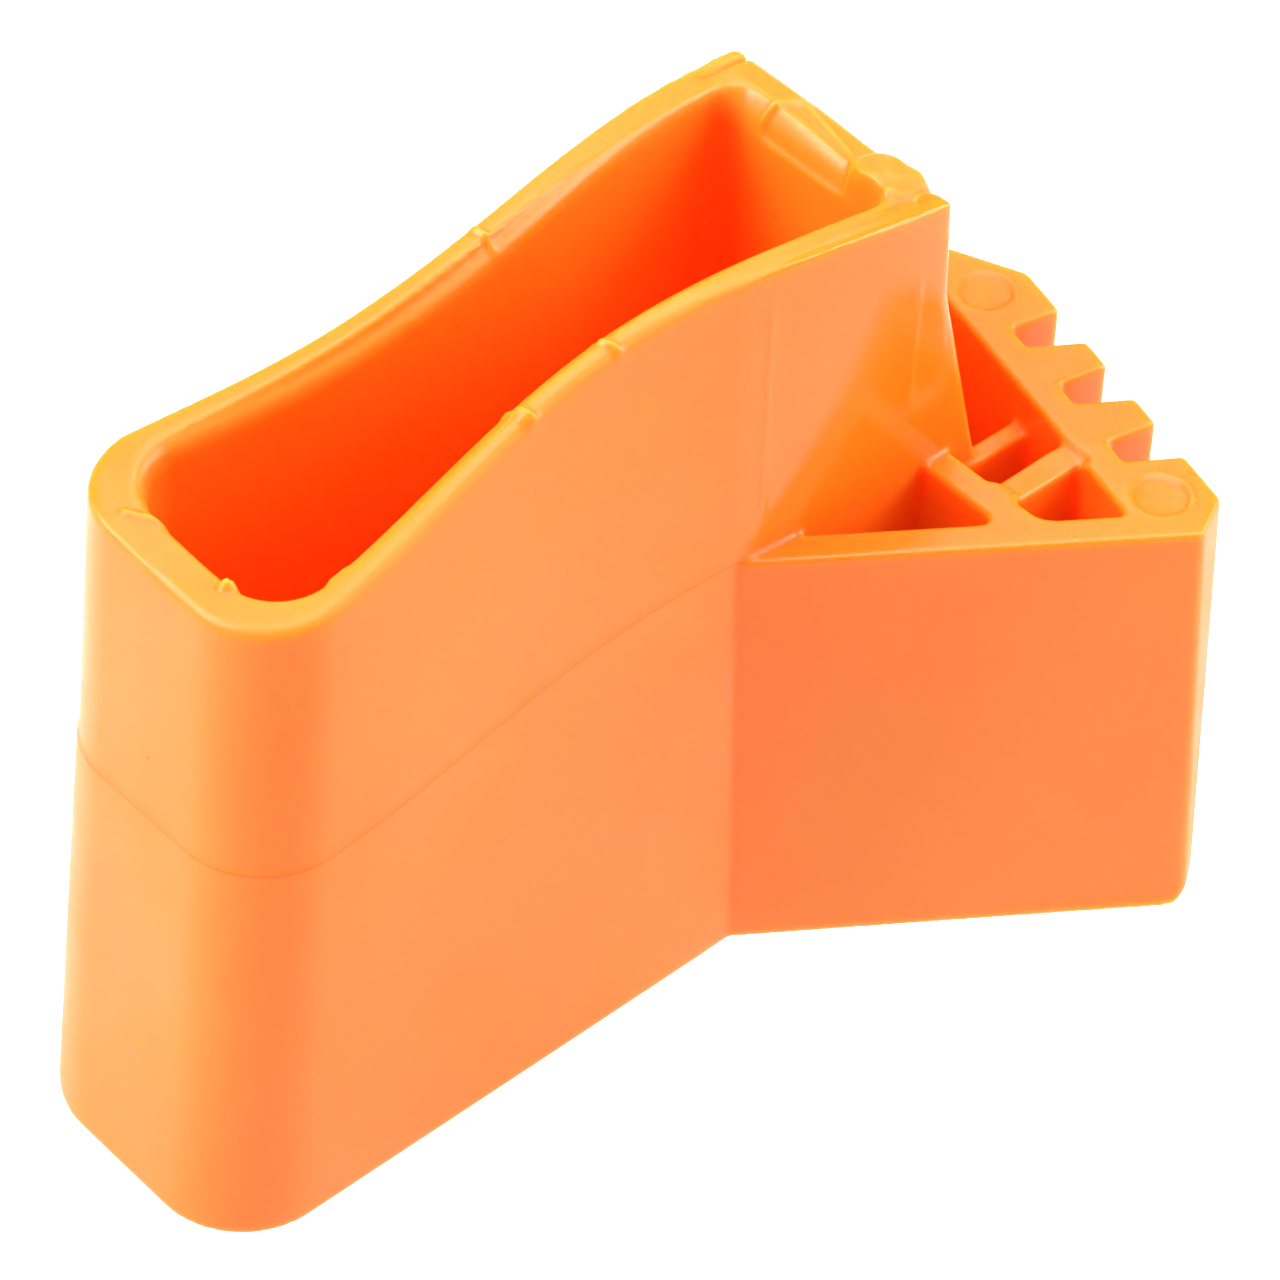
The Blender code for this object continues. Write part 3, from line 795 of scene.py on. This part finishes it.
# ---- studio -----------------------------------------------------------------------------------
LIGHTS = (
    # name, place, height it aims at on the z axis, side of its square, watts
    ("key", (-0.75, 0.40, 0.80), 0.06, 0.7, 20.0),
    ("top_soft", (0.10, 0.0, 0.95), 0.05, 0.8, 9.5),
    ("back_soft", (0.45, 0.50, 0.80), 0.05, 0.5, 1.6),
    ("front_soft", (0.78, -0.56, 0.52), 0.05, 0.8, 13.0),
)
WORLD_STRENGTH = 0.24
SWEEP_GLOW = 1.02                     # the floor's painted glow on its plainest side
SWEEP_GAIN = 0.60                     # and what it gains a quarter turn away
PLAIN_SIDE = (-0.37, -0.93)
FLOOR_GREY = 0.14
CAMERA_PLACE = (-0.29869, -0.31172, 0.48130)
CAMERA_TURN = (45.236, -3.343, -42.703)
CAMERA_LENS = 140.625


def area_light(name, place, aim, side, power):
    data = bpy.data.lights.new(name, "AREA")
    data.shape = "RECTANGLE"
    data.size = side
    data.size_y = side
    data.energy = power
    obj = bpy.data.objects.new(name, data)
    obj.location = place
    sight = Vector((0.0, 0.0, aim)) - Vector(place)
    obj.rotation_euler = sight.to_track_quat("-Z", "Y").to_euler()
    bpy.context.scene.collection.objects.link(obj)


def studio():
    bpy.ops.mesh.primitive_plane_add(size=6.0, location=(0.0, 0.0, 0.0))
    floor = bpy.context.object
    floor.name = "floor"
    # painted light: the floor glows through its emission, brightest behind the rounded end and
    # plainest in front of the wing
    g = Graph("floor_painted_glow")
    reach = g.math("MAXIMUM", g.math("SQRT", g.math("ADD", g.math("MULTIPLY", g.x, g.x),
                                                    g.math("MULTIPLY", g.y, g.y))), 0.02)
    along = g.math("ADD", g.math("MULTIPLY", g.x, PLAIN_SIDE[0]),
                   g.math("MULTIPLY", g.y, PLAIN_SIDE[1]))
    turn = g.math("DIVIDE", along, reach)
    glow = g.math("MULTIPLY_ADD", g.math("SUBTRACT", 1.0, turn), SWEEP_GAIN, SWEEP_GLOW)
    # painted light: the emission strength changes around the object, so the floor lights it
    # unevenly
    g.links.new(glow, g.bsdf.inputs["Emission Strength"])
    g.bsdf.inputs["Base Color"].default_value = (FLOOR_GREY, FLOOR_GREY, FLOOR_GREY, 1.0)
    g.bsdf.inputs["Roughness"].default_value = 0.9
    g.bsdf.inputs["Specular IOR Level"].default_value = 0.1
    g.bsdf.inputs["Emission Color"].default_value = (1.0, 1.0, 1.0, 1.0)
    floor.data.materials.append(g.mat)

    world = bpy.data.worlds.new("studio")
    bpy.context.scene.world = world
    world.use_nodes = True
    background = world.node_tree.nodes["Background"]
    background.inputs["Color"].default_value = (1.0, 1.0, 1.0, 1.0)
    background.inputs["Strength"].default_value = WORLD_STRENGTH
    for light in LIGHTS:
        area_light(*light)

    view = bpy.context.scene.view_settings
    view.view_transform = "Standard"
    view.look = "None"


def camera():
    data = bpy.data.cameras.new("camera")
    data.sensor_width = 36.0
    data.lens = CAMERA_LENS
    data.clip_start = 0.01
    obj = bpy.data.objects.new("camera", data)
    obj.location = CAMERA_PLACE
    obj.rotation_euler = Euler([math.radians(a) for a in CAMERA_TURN])
    bpy.context.scene.collection.objects.link(obj)
    bpy.context.scene.camera = obj


def build():
    camera()
    studio()
    body = moulding()
    body.data.materials.clear()
    body.data.materials.append(orange_plastic())
    body.data.shade_smooth()
    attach(body, "root")
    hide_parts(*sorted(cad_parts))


build()
